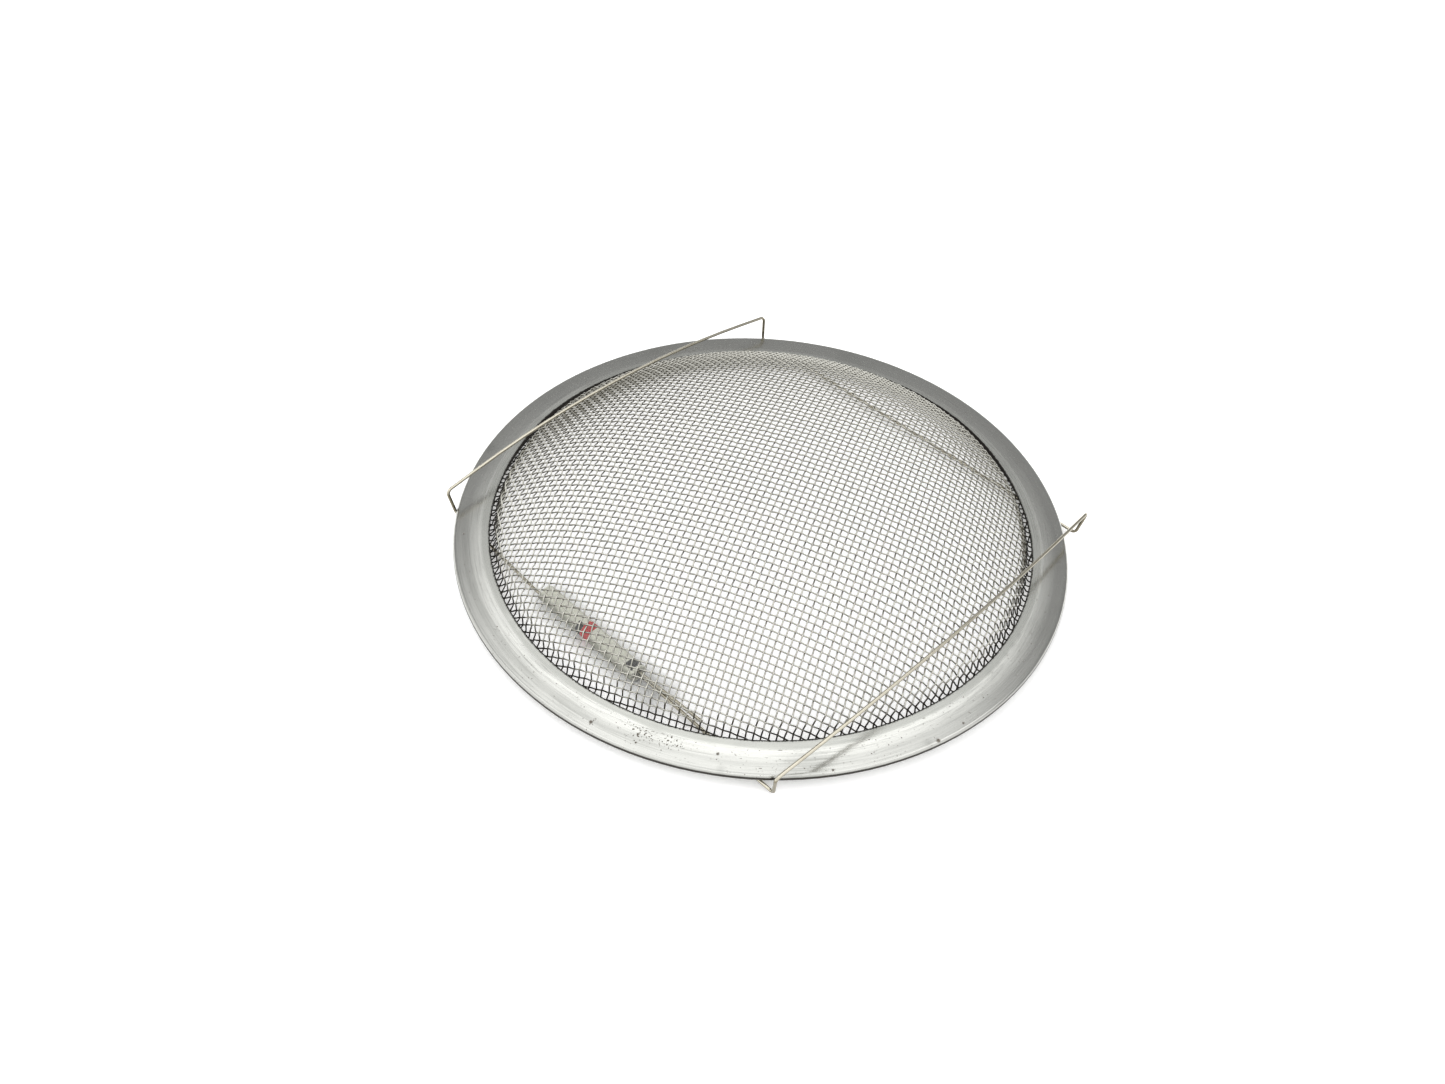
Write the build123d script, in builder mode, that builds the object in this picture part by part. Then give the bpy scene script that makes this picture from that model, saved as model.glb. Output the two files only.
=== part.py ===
# Air funnel screen: a domed wire mesh clamped in a folded metal rim, held on the
# rolled lip of an air funnel by a square loop of spring wire.
# The origin is the middle of the rim's flat underside, +Z points up through the dome,
# and the four corners of the wire loop lie near the X and Y axes. Sizes are in mm.

import os
from math import asin, cos, degrees, radians, sin, sqrt, tan

from build123d import *

# Rim: one strip of sheet, pressed to a shallow crown and folded back under the mesh
rim_diameter = 115.0
rim_width = 6.75
rim_under_setback = 0.75
rim_sheet = 0.4
rim_crown_rise = 0.16
rim_lip_drop = 0.13
rim_lip_width = 2.05
clamp_clearance = 0.02

# Mesh: plain woven wire cloth, pressed to a flat-topped dome with a trapped flange
mesh_wire_diameter = 0.28
mesh_edge_setback = 1.3
mesh_foot_inset = 0.55
mesh_foot_radius = 0.8
mesh_wall_run = 1.5
mesh_wall_angle = 62.0
mesh_knuckle_radius = 1.5
mesh_skirt_run = 5.6
mesh_skirt_angle = 30.5
mesh_shoulder_radius = 50.0
mesh_crown_angle = 14.0

# Spring wire: a square loop that passes over the rim on two sides and under it on two
wire_diameter = 0.6
wire_corner_reach = 1.6
wire_step = 5.4
wire_step_lean = 1.0
wire_bend_radius = 1.0
wire_seat_clearance = 0.1
wire_shift_x = 1.2
wire_bow_reach = 36.0
wire_contact_inset = 3.937

# Overlap of the loop's two ends, along the side from the -X corner to the -Y corner
joint_entry = 26.0
joint_entry_gap = 0.5
joint_entry_bend_radius = 20.0
joint_inner_end = 31.0
joint_free_end = 67.0
joint_free_offset = 0.5
joint_clearance = 0.02

# Paper label rolled round the overlap
label_start = 28.0
label_length = 24.5
label_side_play = 0.1
label_floor_play = 0.25
label_head_play = 0.13
label_side_wall = 0.5
label_top_wall = 0.45
label_flap = 0.15
label_flap_width = 1.5

# Clear tape folded over the label and stuck to itself, with a tail past the label
tape_film = 0.15
tape_margin = 1.6
tape_lead = 0.5
tape_tail = 8.0
tape_corner_radius = 2.2
tape_fit = 0.02

# Values worked out from the sizes above
rim_radius = rim_diameter / 2
rim_opening_radius = rim_radius - rim_width
mesh_thickness = 2 * mesh_wire_diameter
clamp_gap = mesh_thickness + 2 * clamp_clearance
fold_radius = (clamp_gap + rim_sheet) / 2
fold_centre_x = rim_radius - rim_sheet / 2 - fold_radius
mesh_level = rim_sheet + clamp_clearance + mesh_wire_diameter
mesh_edge_radius = fold_centre_x - mesh_edge_setback

# The rim's lip and flank are arcs that meet level at the crown
lip_angle = 2 * degrees(asin(rim_lip_drop / sqrt(rim_lip_drop**2 + rim_lip_width**2)))
lip_radius = rim_lip_width / sin(radians(lip_angle))
flank_width = fold_centre_x - rim_opening_radius - rim_lip_width
flank_angle = 2 * degrees(asin(rim_crown_rise / sqrt(rim_crown_rise**2 + flank_width**2)))
flank_radius = flank_width / sin(radians(flank_angle))

# The dome is set out from its foot inwards: steep wall, knuckle, straight skirt,
# shoulder and crown
foot_radius = rim_opening_radius - mesh_foot_inset
foot_tangent = mesh_foot_radius * tan(radians(mesh_wall_angle / 2))
wall_top_radius = foot_radius - mesh_wall_run
wall_top_level = mesh_level + mesh_wall_run * tan(radians(mesh_wall_angle))

# Each arc's run and rise follow from the slopes at its two ends
wall_sine = sin(radians(mesh_wall_angle))
wall_cosine = cos(radians(mesh_wall_angle))
skirt_sine = sin(radians(mesh_skirt_angle))
skirt_cosine = cos(radians(mesh_skirt_angle))
crown_sine = sin(radians(mesh_crown_angle))
crown_cosine = cos(radians(mesh_crown_angle))
skirt_foot_radius = wall_top_radius - mesh_knuckle_radius * (wall_sine - skirt_sine)
skirt_foot_level = wall_top_level + mesh_knuckle_radius * (skirt_cosine - wall_cosine)
skirt_top_radius = skirt_foot_radius - mesh_skirt_run
skirt_top_level = skirt_foot_level + mesh_skirt_run * skirt_sine / skirt_cosine
crown_reach = skirt_top_radius - mesh_shoulder_radius * (skirt_sine - crown_sine)
crown_level = skirt_top_level + mesh_shoulder_radius * (crown_cosine - skirt_cosine)
crown_radius = crown_reach / crown_sine
apex_level = crown_level + crown_radius * (1 - crown_cosine)

# The loop's lower sides lie just under the rim, the upper sides a step above them
wire_low = -wire_seat_clearance - wire_diameter / 2
wire_high = wire_low + wire_step
corner_low = rim_radius + wire_corner_reach
corner_high = corner_low + wire_step_lean

# Half way along, each upper side lies against the dome's skirt, which bows it
contact_offset = mesh_thickness / 2 + wire_seat_clearance + wire_diameter / 2

# The free end enters beside the other end and rises just enough to cross over it
joint_entry_offset = -wire_diameter - joint_entry_gap
joint_spacing = wire_diameter + joint_clearance
joint_free_rise = (
    joint_spacing
    * (joint_free_offset - joint_entry_offset)
    / sqrt(joint_entry_offset**2 - joint_spacing**2)
)

# The passage through label and tape leaves play round both ends of the wire, up to the
# end of the tape, and the label's wall goes round the passage
tape_end = label_start + label_length + tape_tail
tape_end_rise = joint_free_rise * (tape_end - joint_entry) / (joint_free_end - joint_entry)
passage_width = joint_free_offset - joint_entry_offset + wire_diameter + 2 * label_side_play
passage_height = tape_end_rise + wire_diameter + label_floor_play + label_head_play
label_offset = (joint_free_offset + joint_entry_offset) / 2
label_rise = passage_height / 2 - wire_diameter / 2 - label_floor_play
label_width = passage_width + 2 * label_side_wall
label_height = passage_height + 2 * label_top_wall
tape_width = label_width + 2 * tape_margin


def loop_corner(x, y, reach, level):
    """Return a corner of the wire loop, in the direction (x, y) from its middle."""
    return Vector(wire_shift_x + x * reach, y * reach, level)


def joint_plane(along):
    """Return the plane across the overlapped side, at a distance from the -X corner."""
    start = loop_corner(-1, 0, corner_low, wire_low)
    direction = Vector(1, -1, 0).normalized()
    return Plane(origin=start + direction * along, x_dir=(1, 1, 0), z_dir=direction)


def joint_point(along, offset, rise):
    """Return a point beside and above the overlapped side."""
    return joint_plane(along).from_local_coords(Vector(offset, rise, 0))


def bowed_side(start, end):
    """Return the corner that bends an upper side against the dome, and its radius."""
    middle = (start + end) / 2
    outward = Vector(middle.X - wire_shift_x, middle.Y, 0).normalized()
    contact_inset = wire_contact_inset - wire_shift_x * outward.X
    contact_radius = skirt_foot_radius - contact_inset
    contact_level = (
        skirt_foot_level
        + contact_inset * skirt_sine / skirt_cosine
        + contact_offset / skirt_cosine
    )
    bow = outward * (contact_radius - middle.dot(outward)) + Vector(0, 0, contact_level - middle.Z)
    half_side = (end - start).length / 2
    corner = middle + bow / (1 - wire_bow_reach / (2 * half_side))
    return corner, wire_bow_reach * half_side / (corner - middle).length


# Rim
with BuildPart() as rim:
    with BuildSketch(Plane.XZ):
        with BuildLine() as rim_section:
            under_leaf = Line(
                (rim_opening_radius + rim_under_setback, rim_sheet / 2),
                (fold_centre_x, rim_sheet / 2),
            )
            fold = JernArc(under_leaf @ 1, under_leaf % 1, fold_radius, 180 - flank_angle)
            flank = JernArc(fold @ 1, fold % 1, flank_radius, flank_angle)
            JernArc(flank @ 1, flank % 1, lip_radius, lip_angle)
        trace(line_width=rim_sheet)
    revolve(axis=Axis.Z)

# Mesh, as a sheet of the weave's own thickness
with BuildPart() as mesh_dome:
    with BuildSketch(Plane.XZ):
        with BuildLine() as mesh_section:
            crown = JernArc((0, apex_level), (1, 0), crown_radius, -mesh_crown_angle)
            shoulder = JernArc(
                crown @ 1, crown % 1, mesh_shoulder_radius, mesh_crown_angle - mesh_skirt_angle
            )
            skirt = Line(shoulder @ 1, (skirt_foot_radius, skirt_foot_level))
            knuckle = JernArc(
                skirt @ 1, skirt % 1, mesh_knuckle_radius, mesh_skirt_angle - mesh_wall_angle
            )
            wall = Line(
                knuckle @ 1,
                (
                    foot_radius - foot_tangent * wall_cosine,
                    mesh_level + foot_tangent * wall_sine,
                ),
            )
            foot = JernArc(wall @ 1, wall % 1, mesh_foot_radius, mesh_wall_angle)
            Line(foot @ 1, (mesh_edge_radius, mesh_level))
        trace(line_width=mesh_thickness)
    revolve(axis=Axis.Z)

# Spring wire
left_high = loop_corner(-1, 0, corner_high, wire_high)
back_high = loop_corner(0, 1, corner_high, wire_high)
right_high = loop_corner(1, 0, corner_high, wire_high)
front_high = loop_corner(0, -1, corner_high, wire_high)
back_bow, back_bow_radius = bowed_side(left_high, back_high)
front_bow, front_bow_radius = bowed_side(right_high, front_high)
wire_route = [
    (joint_point(joint_free_end, joint_free_offset, joint_free_rise), None),
    (joint_point(joint_entry, joint_entry_offset, 0), joint_entry_bend_radius),
    (loop_corner(-1, 0, corner_low, wire_low), wire_bend_radius),
    (left_high, wire_bend_radius),
    (back_bow, back_bow_radius),
    (back_high, wire_bend_radius),
    (loop_corner(0, 1, corner_low, wire_low), wire_bend_radius),
    (loop_corner(1, 0, corner_low, wire_low), wire_bend_radius),
    (right_high, wire_bend_radius),
    (front_bow, front_bow_radius),
    (front_high, wire_bend_radius),
    (loop_corner(0, -1, corner_low, wire_low), wire_bend_radius),
    (joint_point(joint_inner_end, 0, 0), None),
]

with BuildPart() as spring_wire:
    with BuildLine() as wire_path:
        FilletPolyline(
            *[point for point, _ in wire_route],
            radius=[bend for _, bend in wire_route[1:-1]],
        )
    with BuildSketch(Plane(origin=wire_path.line @ 0, z_dir=wire_path.line % 0)):
        Circle(wire_diameter / 2)
    sweep()


def draw_label_outline(margin=0.0):
    """Draw the rolled label's outline, with the step where its last turn ends."""
    with Locations((label_offset, label_rise)):
        Ellipse(label_width / 2 + margin, label_height / 2 + margin)
    with Locations((label_offset, label_rise + label_height / 2)):
        Rectangle(label_flap_width + 2 * margin, 2 * (label_flap + margin))


def draw_wire_passage(margin=0.0):
    """Draw the slot that both ends of the wire pass through, grown by a margin."""
    with Locations((label_offset, label_rise)):
        SlotOverall(passage_width + 2 * margin, passage_height + 2 * margin)


# Paper label
with BuildPart() as paper_label:
    with BuildSketch(joint_plane(label_start)):
        draw_label_outline()
    extrude(amount=label_length)
    with BuildSketch(joint_plane(label_start)):
        draw_wire_passage()
    extrude(amount=label_length, mode=Mode.SUBTRACT)

# Clear tape: a flat plate of two stuck leaves, raised over the label and the wires
tape_start = joint_plane(label_start - tape_lead)
tape_length = tape_end - label_start + tape_lead
tape_middle = tape_start.from_local_coords(Vector(label_offset, label_rise, 0))
with BuildPart() as clear_tape:
    with BuildSketch(Plane(origin=tape_middle, x_dir=tape_start.z_dir, z_dir=(0, 0, 1))):
        Rectangle(tape_length, tape_width, align=(Align.MIN, Align.CENTER))
        fillet(vertices().group_by(Axis.X)[-1], tape_corner_radius)
    extrude(amount=tape_film, both=True)
    with BuildSketch(tape_start):
        draw_label_outline(margin=tape_fit + tape_film)
    extrude(amount=tape_lead + label_length + tape_film)
    with BuildSketch(tape_start):
        draw_wire_passage(margin=tape_film)
    extrude(amount=tape_length - tape_corner_radius)
    with BuildSketch(tape_start):
        draw_wire_passage()
    extrude(amount=tape_length, mode=Mode.SUBTRACT)
    with BuildSketch(joint_plane(label_start - tape_fit)):
        draw_label_outline(margin=tape_fit)
    extrude(amount=label_length + 2 * tape_fit, mode=Mode.SUBTRACT)

os.makedirs("parts", exist_ok=True)
rim.part.label = "rim"
export_step(rim.part, "parts/rim.step")
mesh_dome.part.label = "mesh_dome"
export_step(mesh_dome.part, "parts/mesh_dome.step")
spring_wire.part.label = "spring_wire"
export_step(spring_wire.part, "parts/spring_wire.step")
paper_label.part.label = "paper_label"
export_step(paper_label.part, "parts/paper_label.step")
clear_tape.part.label = "clear_tape"
export_step(clear_tape.part, "parts/clear_tape.step")
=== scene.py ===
import math

import bpy
import numpy as np
from mathutils import Matrix, Vector
from mathutils.bvhtree import BVHTree


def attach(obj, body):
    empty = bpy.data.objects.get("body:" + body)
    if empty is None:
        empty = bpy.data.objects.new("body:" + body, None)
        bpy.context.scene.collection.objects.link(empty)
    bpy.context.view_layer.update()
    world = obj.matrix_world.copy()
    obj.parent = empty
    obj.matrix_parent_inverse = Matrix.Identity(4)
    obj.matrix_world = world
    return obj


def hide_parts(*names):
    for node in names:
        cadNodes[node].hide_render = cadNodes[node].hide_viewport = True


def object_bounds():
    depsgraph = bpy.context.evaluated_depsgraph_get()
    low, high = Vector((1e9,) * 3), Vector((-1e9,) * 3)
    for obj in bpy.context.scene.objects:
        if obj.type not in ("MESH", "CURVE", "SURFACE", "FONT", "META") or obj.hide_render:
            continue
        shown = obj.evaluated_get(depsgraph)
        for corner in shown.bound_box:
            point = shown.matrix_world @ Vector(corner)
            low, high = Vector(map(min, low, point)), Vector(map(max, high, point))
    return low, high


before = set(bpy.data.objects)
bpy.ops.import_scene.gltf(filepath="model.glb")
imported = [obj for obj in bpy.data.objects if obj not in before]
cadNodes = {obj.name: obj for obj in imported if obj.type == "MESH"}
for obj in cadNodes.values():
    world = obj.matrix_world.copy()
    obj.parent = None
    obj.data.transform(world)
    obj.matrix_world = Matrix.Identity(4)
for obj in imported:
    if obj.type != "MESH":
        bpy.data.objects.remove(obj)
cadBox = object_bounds()
scene = bpy.context.scene
scene.view_settings.view_transform = "Standard"
mm = 0.001


class Shade:
    # one socket of a material's nodes, or the tree alone; the operators add Math nodes
    def __init__(self, tree, socket=None):
        self.tree = tree
        self.socket = socket

    def node(self, kind, settings=None, inputs=None, output=0):
        made = self.tree.nodes.new(kind)
        for name, setting in (settings or {}).items():
            if name == "stops":
                fillRamp(made.color_ramp, setting)
            else:
                setattr(made, name, setting)
        for name, given in (inputs or {}).items():
            if isinstance(given, Shade):
                self.tree.links.new(given.socket, made.inputs[name])
            else:
                made.inputs[name].default_value = given
        return Shade(self.tree, made.outputs[output] if made.outputs else None)

    def out(self, name):
        # another output of the same node
        return Shade(self.tree, self.socket.node.outputs[name])

    def maths(self, operation, *values, clamp=False):
        settings = {"operation": operation, "use_clamp": clamp}
        return self.node("ShaderNodeMath", settings, dict(enumerate(values)))

    def __add__(self, other):
        return self.maths("ADD", self, other)

    def __radd__(self, other):
        return self.maths("ADD", other, self)

    def __sub__(self, other):
        return self.maths("SUBTRACT", self, other)

    def __rsub__(self, other):
        return self.maths("SUBTRACT", other, self)

    def __mul__(self, other):
        return self.maths("MULTIPLY", self, other)

    def __rmul__(self, other):
        return self.maths("MULTIPLY", other, self)

    def __truediv__(self, other):
        return self.maths("DIVIDE", self, other)

    def __rtruediv__(self, other):
        return self.maths("DIVIDE", other, self)

    def __neg__(self):
        return self.maths("MULTIPLY", self, -1)

    def __abs__(self):
        return self.maths("ABSOLUTE", self)


def fillRamp(ramp, stops):
    while len(ramp.elements) < len(stops):
        ramp.elements.new(0.5)
    for element, (position, colour) in zip(ramp.elements, stops):
        element.position = position
        element.color = colour


def newShader(name, datablock=None):
    owner = datablock or bpy.data.materials.new(name)
    owner.use_nodes = True
    owner.node_tree.nodes.clear()
    return owner, Shade(owner.node_tree)


def smooth(value, low, high):
    # 0 at low, 1 at high, with a soft start and end
    return value.node("ShaderNodeMapRange", {"interpolation_type": "SMOOTHSTEP"},
                      {"Value": value, "From Min": low, "From Max": high})


def band(value, start, end, soft):
    # 1 between start and end, fading out over the soft width on both sides
    return smooth(value, start - soft, start + soft) * (1 - smooth(value, end - soft, end + soft))


def mixColour(factor, first, second):
    # a Mix node for colours has its factor at 0, its colours at 6 and 7 and its result at 2
    sockets = {0: factor, 6: first, 7: second}
    return factor.node("ShaderNodeMix", {"data_type": "RGBA"}, sockets, output=2)


def noise(vector, scale, detail=2.0, roughness=0.5):
    return vector.node("ShaderNodeTexNoise", None, {
        "Vector": vector,
        "Scale": scale,
        "Detail": detail,
        "Roughness": roughness,
    })


def place(tree):
    # where a point is, in millimetres
    at = tree.node("ShaderNodeTexCoord", output="Object")
    return at.node("ShaderNodeVectorMath", {"operation": "SCALE"}, {0: at, "Scale": 1 / mm})


def parted(vector):
    split = vector.node("ShaderNodeSeparateXYZ", None, {0: vector})
    return split, split.out("Y"), split.out("Z")


def joined(x, y, z):
    source = next(part for part in (x, y, z) if isinstance(part, Shade))
    return source.node("ShaderNodeCombineXYZ", None, {0: x, 1: y, 2: z})


def distance(x, y):
    return x.maths("SQRT", x * x + y * y)


def upwards(tree):
    # how far the surface faces up, from -1 to 1
    _, _, upward = parted(tree.node("ShaderNodeNewGeometry", output="Normal"))
    return upward


def finishShader(tree, inputs):
    shader = tree.node("ShaderNodeBsdfPrincipled", None, inputs)
    tree.node("ShaderNodeOutputMaterial", None, {"Surface": shader})


# Camera: the photograph's own viewpoint, with angles in degrees
cameraSettings = {
    "aim": (-0.007253, -0.005941, 0.0),
    "distance": 0.209727,
    "elevation": 45.772,
    "bearing": 1.43,      # from +Y towards +X
    "roll": 2.879,
    "lens": 27.978,
    "sensor": 36,
    "clip": (0.01, 20),
}


def makeCamera(s):
    rise, turn, roll = (math.radians(s[k]) for k in ("elevation", "bearing", "roll"))
    forward = Vector((math.sin(turn) * math.cos(rise), math.cos(turn) * math.cos(rise),
                      -math.sin(rise)))
    level = forward.cross(Vector((0, 0, 1))).normalized()
    lifted = level.cross(forward)
    right = level * math.cos(roll) + lifted * math.sin(roll)
    up = lifted * math.cos(roll) - level * math.sin(roll)
    camera = bpy.data.objects.new("camera", bpy.data.cameras.new("camera"))
    camera.data.sensor_width = s["sensor"]
    camera.data.lens = s["lens"]
    camera.data.clip_start, camera.data.clip_end = s["clip"]
    scene.collection.objects.link(camera)
    turned = Matrix((right, up, -forward)).transposed().to_4x4()
    camera.matrix_world = Matrix.Translation(Vector(s["aim"]) - forward * s["distance"]) @ turned
    scene.camera = camera


makeCamera(cameraSettings)
print("camera placed")

# Studio: pale floor, plain world that is dim on the far side and brighter overhead, and two soft
# lamps; heights in the sky are sines of the elevation
studioSettings = {
    "floorHalf": 3.0,
    "floorGap": 0.00002,          # between the floor and the object's lowest point
    "floorColour": (0.80, 0.80, 0.80, 1),
    "floorShown": (0.98, 0.98, 0.98, 1),  # shown to the camera and in reflections only
    "floorLift": 0.45,            # a glow that whitens the floor for the same rays
    "liftReach": 0.0025,          # the lift fades where something stands this near, in metres
    "liftSamples": 6,
    "skyNear": 0.98,              # low sky on the camera's side
    "skyFar": 0.265,              # low sky on the far side
    "skyFarLow": 0.42,            # the far side again, near the horizon
    "skyFarRise": (0.15, 0.50),   # heights between which that changes
    "farTowards": (0.34, 0.94),   # the dim side of the low sky, as a direction in x and y
    "farReach": (-0.05, 0.38),    # where along that direction it turns dim
    "skyTop": 1.36,
    "skyTopRise": (0.67, 0.78),   # heights between which the overhead part starts
    "skyTopSide": (0.21, 0.36),   # how far to the sides it fades, on the far side
    "skyTopBack": (0.15, 0.40),   # where in y that far side starts
    "skyZenith": 0.98,            # softer again right overhead
    "skyZenithRise": (0.955, 0.985),
    "horizon": (0.06, 0.10),      # heights over which the white backdrop ends
    "lamps": (
        {"name": "lampLeft", "at": (-0.30, 0.18, 0.85), "size": 0.55, "watts": 0.7},
        {"name": "lampRight", "at": (-0.10, 0.36, 0.85), "size": 0.55, "watts": 0.7},
    ),
}


def seenByCamera(tree):
    return tree.node("ShaderNodeLightPath", output="Is Camera Ray")


def seenDirectly(tree):
    # 1 for rays from the camera, from reflections and through clear pieces
    path = seenByCamera(tree)
    shown = tree.maths("MAXIMUM", path, path.out("Is Glossy Ray"))
    return tree.maths("MAXIMUM", shown, path.out("Is Transmission Ray"))


def makeWorld(s):
    world, tree = newShader("studio", bpy.data.worlds.new("studio"))
    scene.world = world
    x, y, height = parted(tree.node("ShaderNodeTexCoord", output="Generated"))
    farness = x * s["farTowards"][0] + y * s["farTowards"][1]
    far = s["skyFarLow"] + smooth(height, *s["skyFarRise"]) * (s["skyFar"] - s["skyFarLow"])
    low = s["skyNear"] + smooth(farness, *s["farReach"]) * (far - s["skyNear"])
    beside = smooth(abs(x), *s["skyTopSide"]) * smooth(y, *s["skyTopBack"])
    top = s["skyTop"] + smooth(height, *s["skyZenithRise"]) * (s["skyZenith"] - s["skyTop"])
    sky = low + smooth(height, *s["skyTopRise"]) * (1 - beside) * (top - low)
    # reflections see white at the horizon, and the camera sees white all round
    backdrop = seenDirectly(tree) * (1 - smooth(height, *s["horizon"]))
    backdrop = tree.maths("MAXIMUM", backdrop, seenByCamera(tree))
    light = sky + backdrop * (1 - sky)
    background = tree.node("ShaderNodeBackground", None, {"Color": joined(light, light, light)})
    tree.node("ShaderNodeOutputWorld", None, {"Surface": background})


def makeFloor(s, level):
    half = s["floorHalf"]
    corners = [(-half, -half), (half, -half), (half, half), (-half, half)]
    mesh = bpy.data.meshes.new("floor")
    mesh.from_pydata([(x, y, level) for x, y in corners], [], [(0, 1, 2, 3)])
    floor = bpy.data.objects.new("floor", mesh)
    scene.collection.objects.link(floor)
    material, tree = newShader("floorPaper")
    shown = seenDirectly(tree)
    openness = tree.node("ShaderNodeAmbientOcclusion", {"samples": s["liftSamples"]},
                         {"Distance": s["liftReach"]}, output="AO")
    lift = shown * openness * s["floorLift"]
    paper = tree.node("ShaderNodeBsdfPrincipled", None, {
        "Base Color": mixColour(shown, s["floorColour"], s["floorShown"]),
        "Roughness": 1.0,
        "Specular IOR Level": 0.0,
        "Emission Color": joined(lift, lift, lift),
        "Emission Strength": 1.0,
    })
    # seen from below, the floor lets the camera look through
    below = tree.node("ShaderNodeNewGeometry", output="Backfacing") * seenByCamera(tree)
    clear = tree.node("ShaderNodeBsdfTransparent")
    both = tree.node("ShaderNodeMixShader", None, {0: below, 1: paper, 2: clear})
    tree.node("ShaderNodeOutputMaterial", None, {"Surface": both})
    mesh.materials.append(material)


def makeLamp(s, target):
    data = bpy.data.lights.new(s["name"], "AREA")
    data.shape = "DISK"
    data.size = s["size"]
    data.energy = s["watts"]
    lamp = bpy.data.objects.new(s["name"], data)
    lamp.location = s["at"]
    lamp.rotation_euler = (Vector(target) - lamp.location).to_track_quat("-Z", "Y").to_euler()
    lamp.visible_glossy = False     # metal mirrors the sky alone, with no hot spots
    scene.collection.objects.link(lamp)


makeWorld(studioSettings)
makeFloor(studioSettings, cadBox[0].z - studioSettings["floorGap"])
for lampSettings in studioSettings["lamps"]:
    makeLamp(lampSettings, (0, 0, 0))
print("studio lit")

# Rim: satin sheet metal, with marks from pressing, pits and short scratches; lengths and places
# are in millimetres, and a pair of numbers says where something fades in
rimSettings = {
    "opening": 50.75,
    "radius": 57.5,
    "colour": (0.865, 0.87, 0.825, 1),
    "clean": (0.80, 0.81, 0.76, 1),      # the band that the press has left clean
    "stainAndShade": (0.50, 0.505, 0.475, 1),
    # painted shade, for the inner edge and the downward face of the outer fold
    "paintedShade": (0.035, 0.032, 0.028, 1),
    "pit": (0.16, 0.13, 0.10, 1),
    "roughness": 0.22,
    # drawn streaks run round the ring, so their noise is stretched that way
    "streaks": {"round": 4.0, "across": 2.6, "detail": 5.0, "roughness": 0.65},
    "fineStreaks": {"round": 12.0, "across": 9.0, "detail": 3.0, "roughness": 0.6},
    "cloudScale": 0.07,
    "grainScale": 5.0,
    "nearSide": (10.0, 42.0),
    "bandEdge": 52.35,                    # the clean band ends here, with a wavy edge
    "bandWave": 0.55,
    "bandWaves": 3.0,
    "bandSoft": 0.12,
    "pitsAt": (-17.2, -51.0),
    "pitsReach": (5.0, 1.6),              # half sizes of the pitted stretch, round and across
    "pitScale": 3.6,
    "pitLevels": (0.735, 0.77),           # noise above these makes a pit
    "pitsMore": (0.11, 0.015),            # added to it in the stretch, and on the near side
    # x, y and size of each dent and smudge
    "dents": ((-27.8, -48.3, 0.40), (-7.5, -53.6, 0.32), (-20.4, -51.9, 0.22),
              (10.4, -55.9, 0.25), (27.6, -49.8, 0.45), (32.1, -46.3, 0.25),
              (-55.0, -7.4, 0.22)),
    "smudges": ((25.9, -50.3, 1.3), (-54.4, 16.7, 2.6), (-7.0, -56.2, 1.2)),
    "wornAndLit": (276.5, 5.5),                 # middle and half width of the dull stretch, in degrees
    "wornFrom": (53.5, 55.0),
    # painted shade: a darker ring that stands in for a shallow dip in the rim's profile
    "darkRing": (54.3, 55.6),             # a darker ring on the near left
    "darkRingSoft": 0.35,
    "darkRingLeft": (5.0, 35.0),
    "darkRingNear": (0.0, 14.0),
    # how much each mark darkens the metal; for the dark ring this is painted shade
    "darkening": {"clouds": 0.35, "streaks": 0.55, "fineStreaks": 0.9, "wornAndLit": 0.7,
                 "grain": 0.5, "darkRing": 0.45, "smudges": 0.5},
    "pitting": 0.85,
    # painted highlight and shade across the rim, from the clean band outwards, and its mean
    "shadingTones": ((0.0, 0.78), (0.19, 0.81), (0.25, 1.0), (0.34, 0.97), (0.47, 0.90), (0.65, 0.75),
              (0.81, 0.80), (1.0, 0.80)),
    "toneMean": 0.84,
    "toneFrom": -1.6,                     # from the clean band's edge
    "toneSpan": 6.8,
    "toneNear": (-35.0, 15.0),
    "innerShadeReach": (0.15, 0.38),           # how far out from the opening it ends
    "innerRagged": 0.8,
    "farShadeReach": 0.75,                     # how much further out it reaches on the far side
    "farSide": (5.0, 36.0),
    "underShadeReach": (0.6, 0.3),             # how far in from the outer edge it starts
    "underFacing": (0.35, 0.65),
    "roughening": {"streaks": 0.22, "fineStreaks": 0.12, "clean": 0.05, "pits": 0.3,
                   "paintedShade": 0.4},
    "relief": {"streaks": 0.005, "fineStreaks": 0.004, "grain": 0.0015, "pits": 0.012},
    "lipReach": 52.8,                     # the lip is worn flatter than pressed, out to here
    "lipRadius": 16.2,
    "lipWear": 0.90,
}


def ringNoise(x, y, radius, s):
    along = joined(x / radius * s["round"], y / radius * s["round"], radius * s["across"])
    return noise(along, 1.0, s["detail"], s["roughness"])


def roundMark(x, y, mark, core, ragged):
    # 1 in a round mark, fading out from its core to its uneven edge
    markX, markY, size = mark
    return 1 - smooth(distance(x - markX, y - markY) + ragged, size * core, size)


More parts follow.
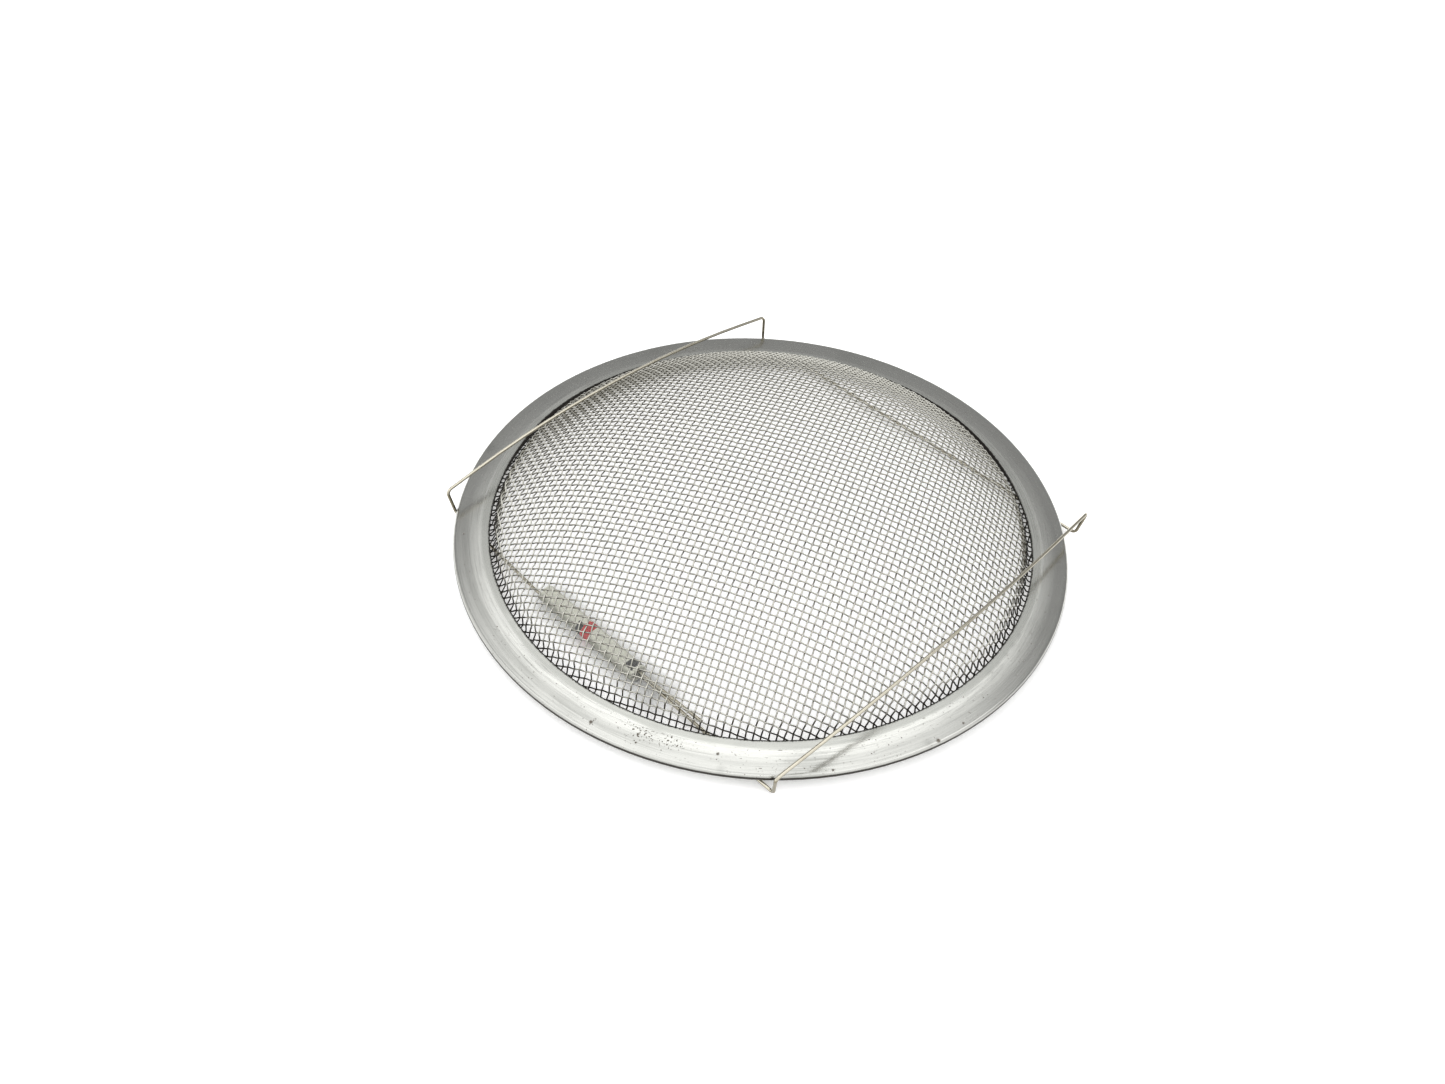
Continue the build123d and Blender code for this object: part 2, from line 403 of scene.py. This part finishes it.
def rimShader(s):
    material, tree = newShader("rimMetal")
    at = place(tree)
    x, y, _ = parted(at)
    radius = distance(x, y)
    streaks = ringNoise(x, y, radius, s["streaks"])
    fineStreaks = ringNoise(x, y, radius, s["fineStreaks"])
    clouds = noise(at, s["cloudScale"], 3.0, 0.55)
    grain = noise(at, s["grainScale"], 3.0, 0.65)
    nearSide = smooth(-y, *s["nearSide"])
    # the cleaned band inside has a wavy edge
    wave = noise(joined(x / radius * s["bandWaves"], y / radius * s["bandWaves"], 0.7), 1.0)
    edge = s["bandEdge"] + (wave - 0.5) * s["bandWave"] * 2
    outside = smooth(radius - edge, -s["bandSoft"], s["bandSoft"])
    # pits lie in one stretch and thinly elsewhere on the near side
    alongRing = (x - s["pitsAt"][0]) * (s["opening"] / s["radius"])
    acrossRing = radius - math.hypot(*s["pitsAt"])
    halfRound, halfAcross = s["pitsReach"]
    pitZone = 1 - smooth(abs(alongRing), halfRound * 0.5, halfRound)
    pitZone = pitZone * (1 - smooth(abs(acrossRing), halfAcross * 0.4, halfAcross))
    moreInZone, moreNear = s["pitsMore"]
    speckle = noise(at, s["pitScale"], 1.0, 0.4) + pitZone * moreInZone + nearSide * moreNear
    pits = smooth(speckle, *s["pitLevels"]) * outside
    for dent in s["dents"]:
        pits = tree.maths("MAXIMUM", pits, roundMark(x, y, dent, 0.4, (grain - 0.5) * 0.5))
    # a dull stretch with long brushed streaks
    turn = tree.maths("ARCTAN2", y, x) * (180 / math.pi) + 360
    wornAt, wornHalf = s["wornAndLit"]
    dullAndShaded = (1 - smooth(abs(turn - wornAt), wornHalf * 0.3, wornHalf)) * outside
    dullAndShaded = dullAndShaded * smooth(streaks, 0.35, 0.6) * smooth(radius, *s["wornFrom"])
    # painted shade in a ring on the near left, where the profile dips
    nearLeft = smooth(-x, *s["darkRingLeft"]) * smooth(-y, *s["darkRingNear"])
    darkRing = band(radius, *s["darkRing"], s["darkRingSoft"]) * nearLeft
    # the darkening adds up from all the marks, the dark ring's painted shade among them
    much = s["darkening"]
    stainAndShade = smooth(clouds, 0.42, 0.75) * much["clouds"]
    stainAndShade = stainAndShade + smooth(streaks, 0.48, 0.72) * much["streaks"] * outside
    stainAndShade = stainAndShade + (fineStreaks - 0.5) * much["fineStreaks"] * outside
    stainAndShade = stainAndShade + dullAndShaded * much["wornAndLit"] + (grain - 0.5) * much["grain"] * nearSide
    stainAndShade = stainAndShade + darkRing * much["darkRing"]
    for smudge in s["smudges"]:
        ragged = (grain - 0.5) * smudge[2] * 0.6
        stainAndShade = stainAndShade + roundMark(x, y, smudge, 0.0, ragged) * much["smudges"]
    # the painted highlight and shade across the rim fade to their mean on the far side
    stops = [(spot, (grey, grey, grey, 1)) for spot, grey in s["shadingTones"]]
    fromEdge = (radius - edge - s["toneFrom"]) / s["toneSpan"]
    shadingTone = tree.node("ShaderNodeValToRGB", {"stops": stops}, {"Fac": fromEdge})
    shadingTone = s["toneMean"] + (shadingTone - s["toneMean"]) * smooth(-y, *s["toneNear"])
    colour = mixColour(outside, s["clean"], s["colour"])
    colour = colour.node("ShaderNodeVectorMath", {"operation": "SCALE"},
                         {0: colour, "Scale": shadingTone})
    colour = mixColour(tree.maths("MAXIMUM", stainAndShade, 0.0, clamp=True), colour, s["stainAndShade"])
    colour = mixColour(pits * s["pitting"], colour, s["pit"])
    # painted shade sits at the cut inner edge and under the outer fold, where shadow falls
    start, end = (s["opening"] + reach for reach in s["innerShadeReach"])
    inner = radius - (grain - 0.5) * s["innerRagged"] - smooth(y, *s["farSide"]) * s["farShadeReach"]
    inner = 1 - smooth(inner, start, end)
    start, end = (s["radius"] - reach for reach in s["underShadeReach"])
    under = smooth(radius, start, end) * (1 - smooth(upwards(tree), *s["underFacing"]))
    colour = mixColour(tree.maths("MAXIMUM", inner, under), colour, s["paintedShade"])
    rough = s["roughening"]
    roughness = s["roughness"] + (streaks - 0.5) * rough["streaks"]
    roughness = roughness + (fineStreaks - 0.5) * rough["fineStreaks"]
    roughness = roughness + (1 - outside) * rough["clean"]
    raised = s["relief"]
    height = streaks * raised["streaks"] + fineStreaks * raised["fineStreaks"]
    height = height + grain * raised["grain"] - pits * raised["pits"]
    lip = tree.maths("MAXIMUM", s["lipReach"] - radius, 0.0)
    height = height + lip * lip * (s["lipWear"] / (2 * s["lipRadius"]))
    bump = tree.node("ShaderNodeBump", None, {"Height": height, "Strength": 1.0, "Distance": mm})
    finishShader(tree, {
        "Base Color": colour,
        "Metallic": 1.0,
        "Roughness": roughness + pits * rough["pits"] + inner * rough["paintedShade"],
        "Normal": bump,
    })
    return material


# Screen wires: drawn steel, with a painted highlight on top and painted shade below and at the
# foot of the wall;
# lengths are in millimetres
weaveSettings = {
    "wireRadius": 0.14,
    "crimp": {"warp": 0.12, "weft": 0.16},
    "knuckle": 0.92,        # nearer 1 makes the crimp straighter between crossings
    "sides": 6,
    "pointsPerPitch": 5,
    "pitchWarp": 1.2465,
    "pitchWeft": 1.2811,
    "warpAngle": -19.53,
    "origin": (1.146, 2.7225),
    "reach": 54.3,          # the cloth ends inside the rim's fold
    "span": 47,             # wires counted each way from the middle one
    "netMargin": 2.5,       # the net is draped this much further than the cloth reaches
    "netSlip": 1.9,         # a corner that has to move more than this is left out
    "readTo": 55.45,        # the CAD dome is read out to here, in these steps
    "readStep": 0.05,
    "readTurn": 7,          # along a line turned this many degrees from +X
    # painted highlight on the upper side of each wire, painted shade on its flanks and underside
    "wornAndLit": (0.745, 0.735, 0.665, 1),     # the upper side of each wire
    "litFacing": (0.28, 0.86),
    "dullAndShaded": (0.072, 0.064, 0.044, 1),     # its flanks and underside
    "cloudScale": 0.12,
    "cloudLevels": (0.55, 0.8),
    "cloudDulling": 0.3,
    "fineScale": 3.0,
    "fineColour": 0.2,
    # painted shade at the foot of the wall, under the rim's inner edge
    "paintedShade": (0.05, 0.045, 0.038, 1),
    "wallShadeFrom": (48.4, 49.6),
    "wallShadeBelow": (2.9, 1.7),
    "farSide": (10.0, 38.0),              # there the painted shade starts further out and higher up
    "farOut": 0.5,
    "farUp": 2.0,
    "roughness": 0.24,
    "fineRoughness": 0.2,
    "dullRoughness": 0.15,
}


def weaveShader(s):
    material, tree = newShader("screenSteel")
    at = place(tree)
    x, y, z = parted(at)
    clouds = noise(at, s["cloudScale"], 3.0, 0.6)
    fine = noise(at, s["fineScale"], 2.0, 0.6)
    # painted highlight where the wire faces up and painted shade where it faces down, dulled at
    # random in clouds
    litTopAndWear = smooth(upwards(tree), *s["litFacing"])
    litTopAndWear = litTopAndWear * (1 - smooth(clouds, *s["cloudLevels"]) * s["cloudDulling"])
    colour = mixColour(litTopAndWear + (fine - 0.5) * s["fineColour"], s["dullAndShaded"], s["wornAndLit"])
    # painted shade on the wires at the foot of the wall, where the rim overhangs them
    farSide = smooth(y, *s["farSide"])
    paintedShade = smooth(distance(x, y) - farSide * s["farOut"], *s["wallShadeFrom"])
    paintedShade = paintedShade * smooth(z - farSide * s["farUp"], *s["wallShadeBelow"])
    roughness = s["roughness"] + (fine - 0.5) * s["fineRoughness"]
    finishShader(tree, {
        "Base Color": mixColour(paintedShade, colour, s["paintedShade"]),
        "Metallic": 1.0,
        "Roughness": roughness + (1 - litTopAndWear) * s["dullRoughness"],
    })
    return material


def readDome(s, node):
    # mid-height of the CAD dome at each radius, by rays from above and below
    mesh = node.data
    tree = BVHTree.FromPolygons([v.co for v in mesh.vertices], [p.vertices for p in mesh.polygons])
    turn = math.radians(s["readTurn"])
    radii = np.arange(0.0, s["readTo"], s["readStep"])
    levels = []
    for r in radii:
        # a hair beside the axis, where the facets meet
        x, y = r * mm * math.cos(turn) + 1e-7, r * mm * math.sin(turn)
        top = tree.ray_cast(Vector((x, y, 1)), Vector((0, 0, -1)))[0].z
        low = tree.ray_cast(Vector((x, y, -1)), Vector((0, 0, 1)))[0].z
        levels.append((top + low) / 2 / mm)
    return radii, np.array(levels)


def drapeNet(s, radii, levels):
    # cloth laid over the dome: every mesh keeps the length of its four sides
    slopes = np.gradient(levels, radii)
    step = radii[1] - radii[0]
    levelList, slopeList = levels.tolist(), slopes.tolist()
    last = len(levelList) - 2

    def lookup(table, r):
        k = min(int(r / step), last)
        return table[k] + (table[k + 1] - table[k]) * (r / step - k)

    def point(x, y):
        r = math.hypot(x, y)
        slope = lookup(slopeList, r) if r < radii[-1] else 0.0
        level = lookup(levelList, min(r, radii[-1]))
        return x, y, level, slope * x / (r + 1e-12), slope * y / (r + 1e-12)

    def stepAlong(start, dx, dy, pitch):
        t = pitch
        for _ in range(8):
            there = point(start[0] + t * dx, start[1] + t * dy)
            t *= pitch / math.hypot(t, there[2] - start[2])
        return there

    def close(a, b, c, lengthA, lengthB):
        # the fourth corner of a mesh, from its neighbours a and b and the corner c opposite
        x, y = a[0] + b[0] - c[0], a[1] + b[1] - c[1]
        guess = (x, y)
        for _ in range(6):
            p = point(x, y)
            ax, ay, az = x - a[0], y - a[1], p[2] - a[2]
            bx, by, bz = x - b[0], y - b[1], p[2] - b[2]
            f1 = ax * ax + ay * ay + az * az - lengthA**2
            f2 = bx * bx + by * by + bz * bz - lengthB**2
            j11, j12 = 2 * (ax + az * p[3]), 2 * (ay + az * p[4])
            j21, j22 = 2 * (bx + bz * p[3]), 2 * (by + bz * p[4])
            det = j11 * j22 - j12 * j21
            if abs(det) < 1e-9:
                break
            dx, dy = (j22 * f1 - j12 * f2) / det, (j11 * f2 - j21 * f1) / det
            x, y = x - dx, y - dy
            if max(abs(dx), abs(dy)) < 1e-7:
                break
        slip = math.hypot(x - guess[0], y - guess[1])
        return point(x, y) if slip < s["netSlip"] else None

    span, limit = s["span"], s["reach"] + s["netMargin"]
    angle = math.radians(s["warpAngle"])
    cosine, sine = math.cos(angle), math.sin(angle)
    warp, weft = s["pitchWarp"], s["pitchWeft"]
    net = {(0, 0): point(*s["origin"])}
    for side in (1, -1):
        for k in range(1, span + 1):
            before = net.get((side * (k - 1), 0))
            if before and math.hypot(before[0], before[1]) < limit:
                net[side * k, 0] = stepAlong(before, side * cosine, side * sine, warp)
            before = net.get((0, side * (k - 1)))
            if before and math.hypot(before[0], before[1]) < limit:
                net[0, side * k] = stepAlong(before, -side * sine, side * cosine, weft)
    for si in (1, -1):
        for sj in (1, -1):
            for i in range(1, span + 1):
                for j in range(1, span + 1):
                    a, b = net.get((si * (i - 1), sj * j)), net.get((si * i, sj * (j - 1)))
                    if not a or not b:
                        continue
                    if min(math.hypot(a[0], a[1]), math.hypot(b[0], b[1])) > limit:
                        continue
                    made = close(a, b, net[si * (i - 1), sj * (j - 1)], warp, weft)
                    if made:
                        net[si * i, sj * j] = made
    return net, point


def wireLines(s, net, along, shed):
    # the net's lines of one direction and one shed, each a run of neighbouring crossings
    lines = []
    for fixed in range(-s["span"], s["span"] + 1):
        if (fixed - shed) % 2:
            continue
        run = []
        for k in range(-s["span"], s["span"] + 2):
            key = (k, fixed) if along == "warp" else (fixed, k)
            here = net.get(key)
            if here and math.hypot(here[0], here[1]) < s["reach"]:
                run.append((key, here))
                continue
            if len(run) > 2:
                lines.append(run)
            run = []
    return lines


def lineMesh(s, name, lines, along, point):
    # a polyline for each wire, with the dome's normal and the place in the weave's wave
    verts, edges, normals, phases = [], [], [], []
    cuts = s["pointsPerPitch"]
    for run in lines:
        for n, (key, here) in enumerate(run):
            phase = key[0] + key[1] + (1 if along == "warp" else 0)
            pieces = cuts if n + 1 < len(run) else 1
            for c in range(pieces):
                t = c / cuts
                there = run[n + 1][1] if c else here
                p = point(here[0] + (there[0] - here[0]) * t, here[1] + (there[1] - here[1]) * t)
                if n or c:
                    edges.append((len(verts) - 1, len(verts)))
                verts.append((p[0] * mm, p[1] * mm, p[2] * mm))
                normals.append(Vector((-p[3], -p[4], 1)).normalized())
                phases.append(phase + t)
    mesh = bpy.data.meshes.new(name)
    mesh.from_pydata(verts, edges, [])
    mesh.attributes.new("domeNormal", "FLOAT_VECTOR", "POINT")
    mesh.attributes["domeNormal"].data.foreach_set("vector", np.array(normals, np.float32).ravel())
    mesh.attributes.new("phase", "FLOAT", "POINT")
    mesh.attributes["phase"].data.foreach_set("value", np.array(phases, np.float32))
    return mesh


def buildWeaveNodes():
    # Geometry Nodes: lines of the net in, crimped round wires out
    group = bpy.data.node_groups.new("crimpedWires", "GeometryNodeTree")
    face = group.interface
    face.new_socket("Lines", in_out="INPUT", socket_type="NodeSocketGeometry")
    for name in ("Wire Radius", "Crimp", "Knuckle"):
        face.new_socket(name, in_out="INPUT", socket_type="NodeSocketFloat")
    face.new_socket("Sides", in_out="INPUT", socket_type="NodeSocketInt")
    face.new_socket("Material", in_out="INPUT", socket_type="NodeSocketMaterial")
    face.new_socket("Wires", in_out="OUTPUT", socket_type="NodeSocketGeometry")

    def add(kind, settings=None, **inputs):
        made = group.nodes.new(kind)
        for name, setting in (settings or {}).items():
            setattr(made, name, setting)
        for name, given in inputs.items():
            name = name.replace("_", " ")
            if isinstance(given, bpy.types.NodeSocket):
                group.links.new(given, made.inputs[name])
            else:
                made.inputs[name].default_value = given
        return made

    def maths(operation, *values):
        made = add("ShaderNodeMath", {"operation": operation})
        for socket, given in zip(made.inputs, values):
            if isinstance(given, bpy.types.NodeSocket):
                group.links.new(given, socket)
            else:
                socket.default_value = given
        return made.outputs[0]

    def attribute(kind, name):
        made = add("GeometryNodeInputNamedAttribute", {"data_type": kind}, Name=name)
        return made.outputs["Attribute"]

    given = add("NodeGroupInput").outputs
    # the arcsine straightens the wave between crossings
    wave = maths("COSINE", maths("MULTIPLY", attribute("FLOAT", "phase"), math.pi))
    wave = maths("ARCSINE", maths("MULTIPLY", wave, given["Knuckle"]))
    wave = maths("DIVIDE", wave, maths("ARCSINE", given["Knuckle"]))
    offset = add("ShaderNodeVectorMath", {"operation": "SCALE"},
                 Scale=maths("MULTIPLY", wave, given["Crimp"]))
    group.links.new(attribute("FLOAT_VECTOR", "domeNormal"), offset.inputs[0])
    curve = add("GeometryNodeMeshToCurve", Mesh=given["Lines"])
    moved = add("GeometryNodeSetPosition", Geometry=curve.outputs[0], Offset=offset.outputs[0])
    section = add("GeometryNodeCurvePrimitiveCircle", Radius=given["Wire Radius"],
                  Resolution=given["Sides"])
    tube = add("GeometryNodeCurveToMesh", Curve=moved.outputs[0],
               Profile_Curve=section.outputs[0], Fill_Caps=True)
    shaded = add("GeometryNodeSetShadeSmooth", Geometry=tube.outputs[0])
    real = add("GeometryNodeRealizeInstances", Geometry=shaded.outputs[0])
    coloured = add("GeometryNodeSetMaterial", Geometry=real.outputs[0], Material=given["Material"])
    output = add("NodeGroupOutput")
    group.links.new(coloured.outputs[0], output.inputs[0])
    return group


def growWires(s, name, lines, along, point, group, material):
    mesh = lineMesh(s, name, lines, along, point)
    holder = bpy.data.objects.new(name + "Lines", mesh)
    scene.collection.objects.link(holder)
    modifier = holder.modifiers.new("wires", "NODES")
    modifier.node_group = group
    given = {"Wire Radius": s["wireRadius"] * mm, "Crimp": s["crimp"][along] * mm,
             "Knuckle": s["knuckle"], "Sides": s["sides"], "Material": material}
    for item in group.interface.items_tree:
        if item.in_out == "INPUT" and item.name in given:
            modifier[item.identifier] = given[item.name]
    depsgraph = bpy.context.evaluated_depsgraph_get()
    grown = bpy.data.meshes.new_from_object(holder.evaluated_get(depsgraph))
    grown.name = name
    bpy.data.objects.remove(holder)
    piece = bpy.data.objects.new(name, grown)
    scene.collection.objects.link(piece)
    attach(piece, "root")
    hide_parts("mesh_dome")
    return piece


def makeScreen(s):
    radii, levels = readDome(s, cadNodes["mesh_dome"])
    net, point = drapeNet(s, radii, levels)
    group = buildWeaveNodes()
    steel = weaveShader(s)
    for along in ("warp", "weft"):
        for shed in (0, 1):
            lines = wireLines(s, net, along, shed)
            name = f"screen_{along}_{shed + 1}"
            piece = growWires(s, name, lines, along, point, group, steel)
            piece.data.calc_loop_triangles()
            print(name, len(lines), "wires", len(piece.data.loop_triangles), "triangles")


makeScreen(weaveSettings)

# Spring wire: drawn steel with a warm cast, a painted highlight on top and painted shade
# underneath
springSettings = {
    "wornAndLit": (0.74, 0.70, 0.58, 1),
    "litFacing": (0.10, 0.70),
    "dullAndShaded": (0.20, 0.18, 0.13, 1),
    "stainAndShade": (0.46, 0.40, 0.30, 1),
    "stainScale": 0.25,
    "stainLevels": (0.5, 0.75),
    "stainMost": 0.4,
    "roughness": 0.20,
    "fineScale": 5.0,
    "fineRoughness": 0.15,
}


def springShader(s):
    material, tree = newShader("springSteel")
    at = place(tree)
    stainAndShade = smooth(noise(at, s["stainScale"], 3.0, 0.6), *s["stainLevels"]) * s["stainMost"]
    fine = noise(at, s["fineScale"], 2.0, 0.6)
    wornAndLit = mixColour(stainAndShade, s["wornAndLit"], s["stainAndShade"])
    finishShader(tree, {
        # painted highlight on the upward side, painted shade below
        "Base Color": mixColour(smooth(upwards(tree), *s["litFacing"]), s["dullAndShaded"], wornAndLit),
        "Metallic": 1.0,
        "Roughness": s["roughness"] + (fine - 0.5) * s["fineRoughness"],
    })
    return material


# Label: cream paper with a red and a black band; along is the distance from the -X corner in
# millimetres, and across is the distance inwards from the wire
labelSettings = {
    "cornerAt": 40.94,
    "paper": (0.97, 0.97, 0.86, 1),
    "paperShade": (0.90, 0.90, 0.77, 1),
    "paperOuterShade": (0.45, 0.45, 0.37, 1),  # painted shade on the side that faces away from the dome
    "outerShadeFrom": (-1.2, -2.0),
    "red": (0.70, 0.03, 0.03, 1),
    "black": (0.008, 0.008, 0.008, 1),
    "redBand": (39.2, 41.2),
    "blackBand": (50.2, 52.0),
    "blackReach": 1.25,                   # how far the black band goes across, each way
    "mark": (37.9, 39.2),                 # black, beside the red band on the outer side
    "markSide": (-0.9, -0.6),
    "redSoft": 0.08,
    "blackSoft": 0.12,
    "fibreScale": 2.5,
    "fibreLevels": (0.35, 0.7),
    "fibreHeight": 0.05,
    "fibreBump": 0.3,
    "roughness": 0.6,
}


def alongJoint(at, s):
    x, y, _ = parted(at)
    turned = math.sqrt(0.5)
    return (x - y) * turned + s["cornerAt"], (x + y) * turned + s["cornerAt"]


def labelShader(s):
    material, tree = newShader("labelPaper")
    at = place(tree)
    along, across = alongJoint(at, s)
    fibres = noise(at, s["fibreScale"], 4.0, 0.65)
    colour = mixColour(smooth(fibres, *s["fibreLevels"]), s["paper"], s["paperShade"])
    # painted shade on the label's outer side
    colour = mixColour(smooth(across, *s["outerShadeFrom"]), colour, s["paperOuterShade"])
    colour = mixColour(band(along, *s["redBand"], s["redSoft"]), colour, s["red"])
    mark = band(along, *s["mark"], s["redSoft"]) * (1 - smooth(across, *s["markSide"]))
    patch = band(along, *s["blackBand"], s["blackSoft"])
    patch = patch * band(across, -s["blackReach"], s["blackReach"], s["blackSoft"])
    colour = mixColour(tree.maths("MAXIMUM", mark, patch), colour, s["black"])
    bump = tree.node("ShaderNodeBump", None, {
        "Height": fibres,
        "Strength": s["fibreBump"],
        "Distance": s["fibreHeight"] * mm,
    })
    finishShader(tree, {"Base Color": colour, "Roughness": s["roughness"], "Normal": bump})
    return material


# Tape: clear film with a faint haze
tapeSettings = {
    "colour": (0.95, 0.96, 0.93, 1),
    "haze": (0.98, 0.98, 0.96, 1),
    "hazeScale": 0.8,
    "hazeAlpha": 0.10,
    "hazeRoughness": 0.15,
    "alpha": 0.09,
    "roughness": 0.14,
}


def tapeShader(s):
    material, tree = newShader("clearTape")
    haze = noise(place(tree), s["hazeScale"], 3.0, 0.6)
    finishShader(tree, {
        "Base Color": mixColour(haze, s["colour"], s["haze"]),
        "Roughness": s["roughness"] + haze * s["hazeRoughness"],
        "Alpha": s["alpha"] + (haze - 0.5) * s["hazeAlpha"],
    })
    return material


def finishNode(name, material):
    slots = cadNodes[name].data.materials
    if len(slots):
        slots[0] = material
    else:
        slots.append(material)


finishNode("rim", rimShader(rimSettings))
finishNode("spring_wire", springShader(springSettings))
finishNode("paper_label", labelShader(labelSettings))
finishNode("clear_tape", tapeShader(tapeSettings))
print("finishes set")
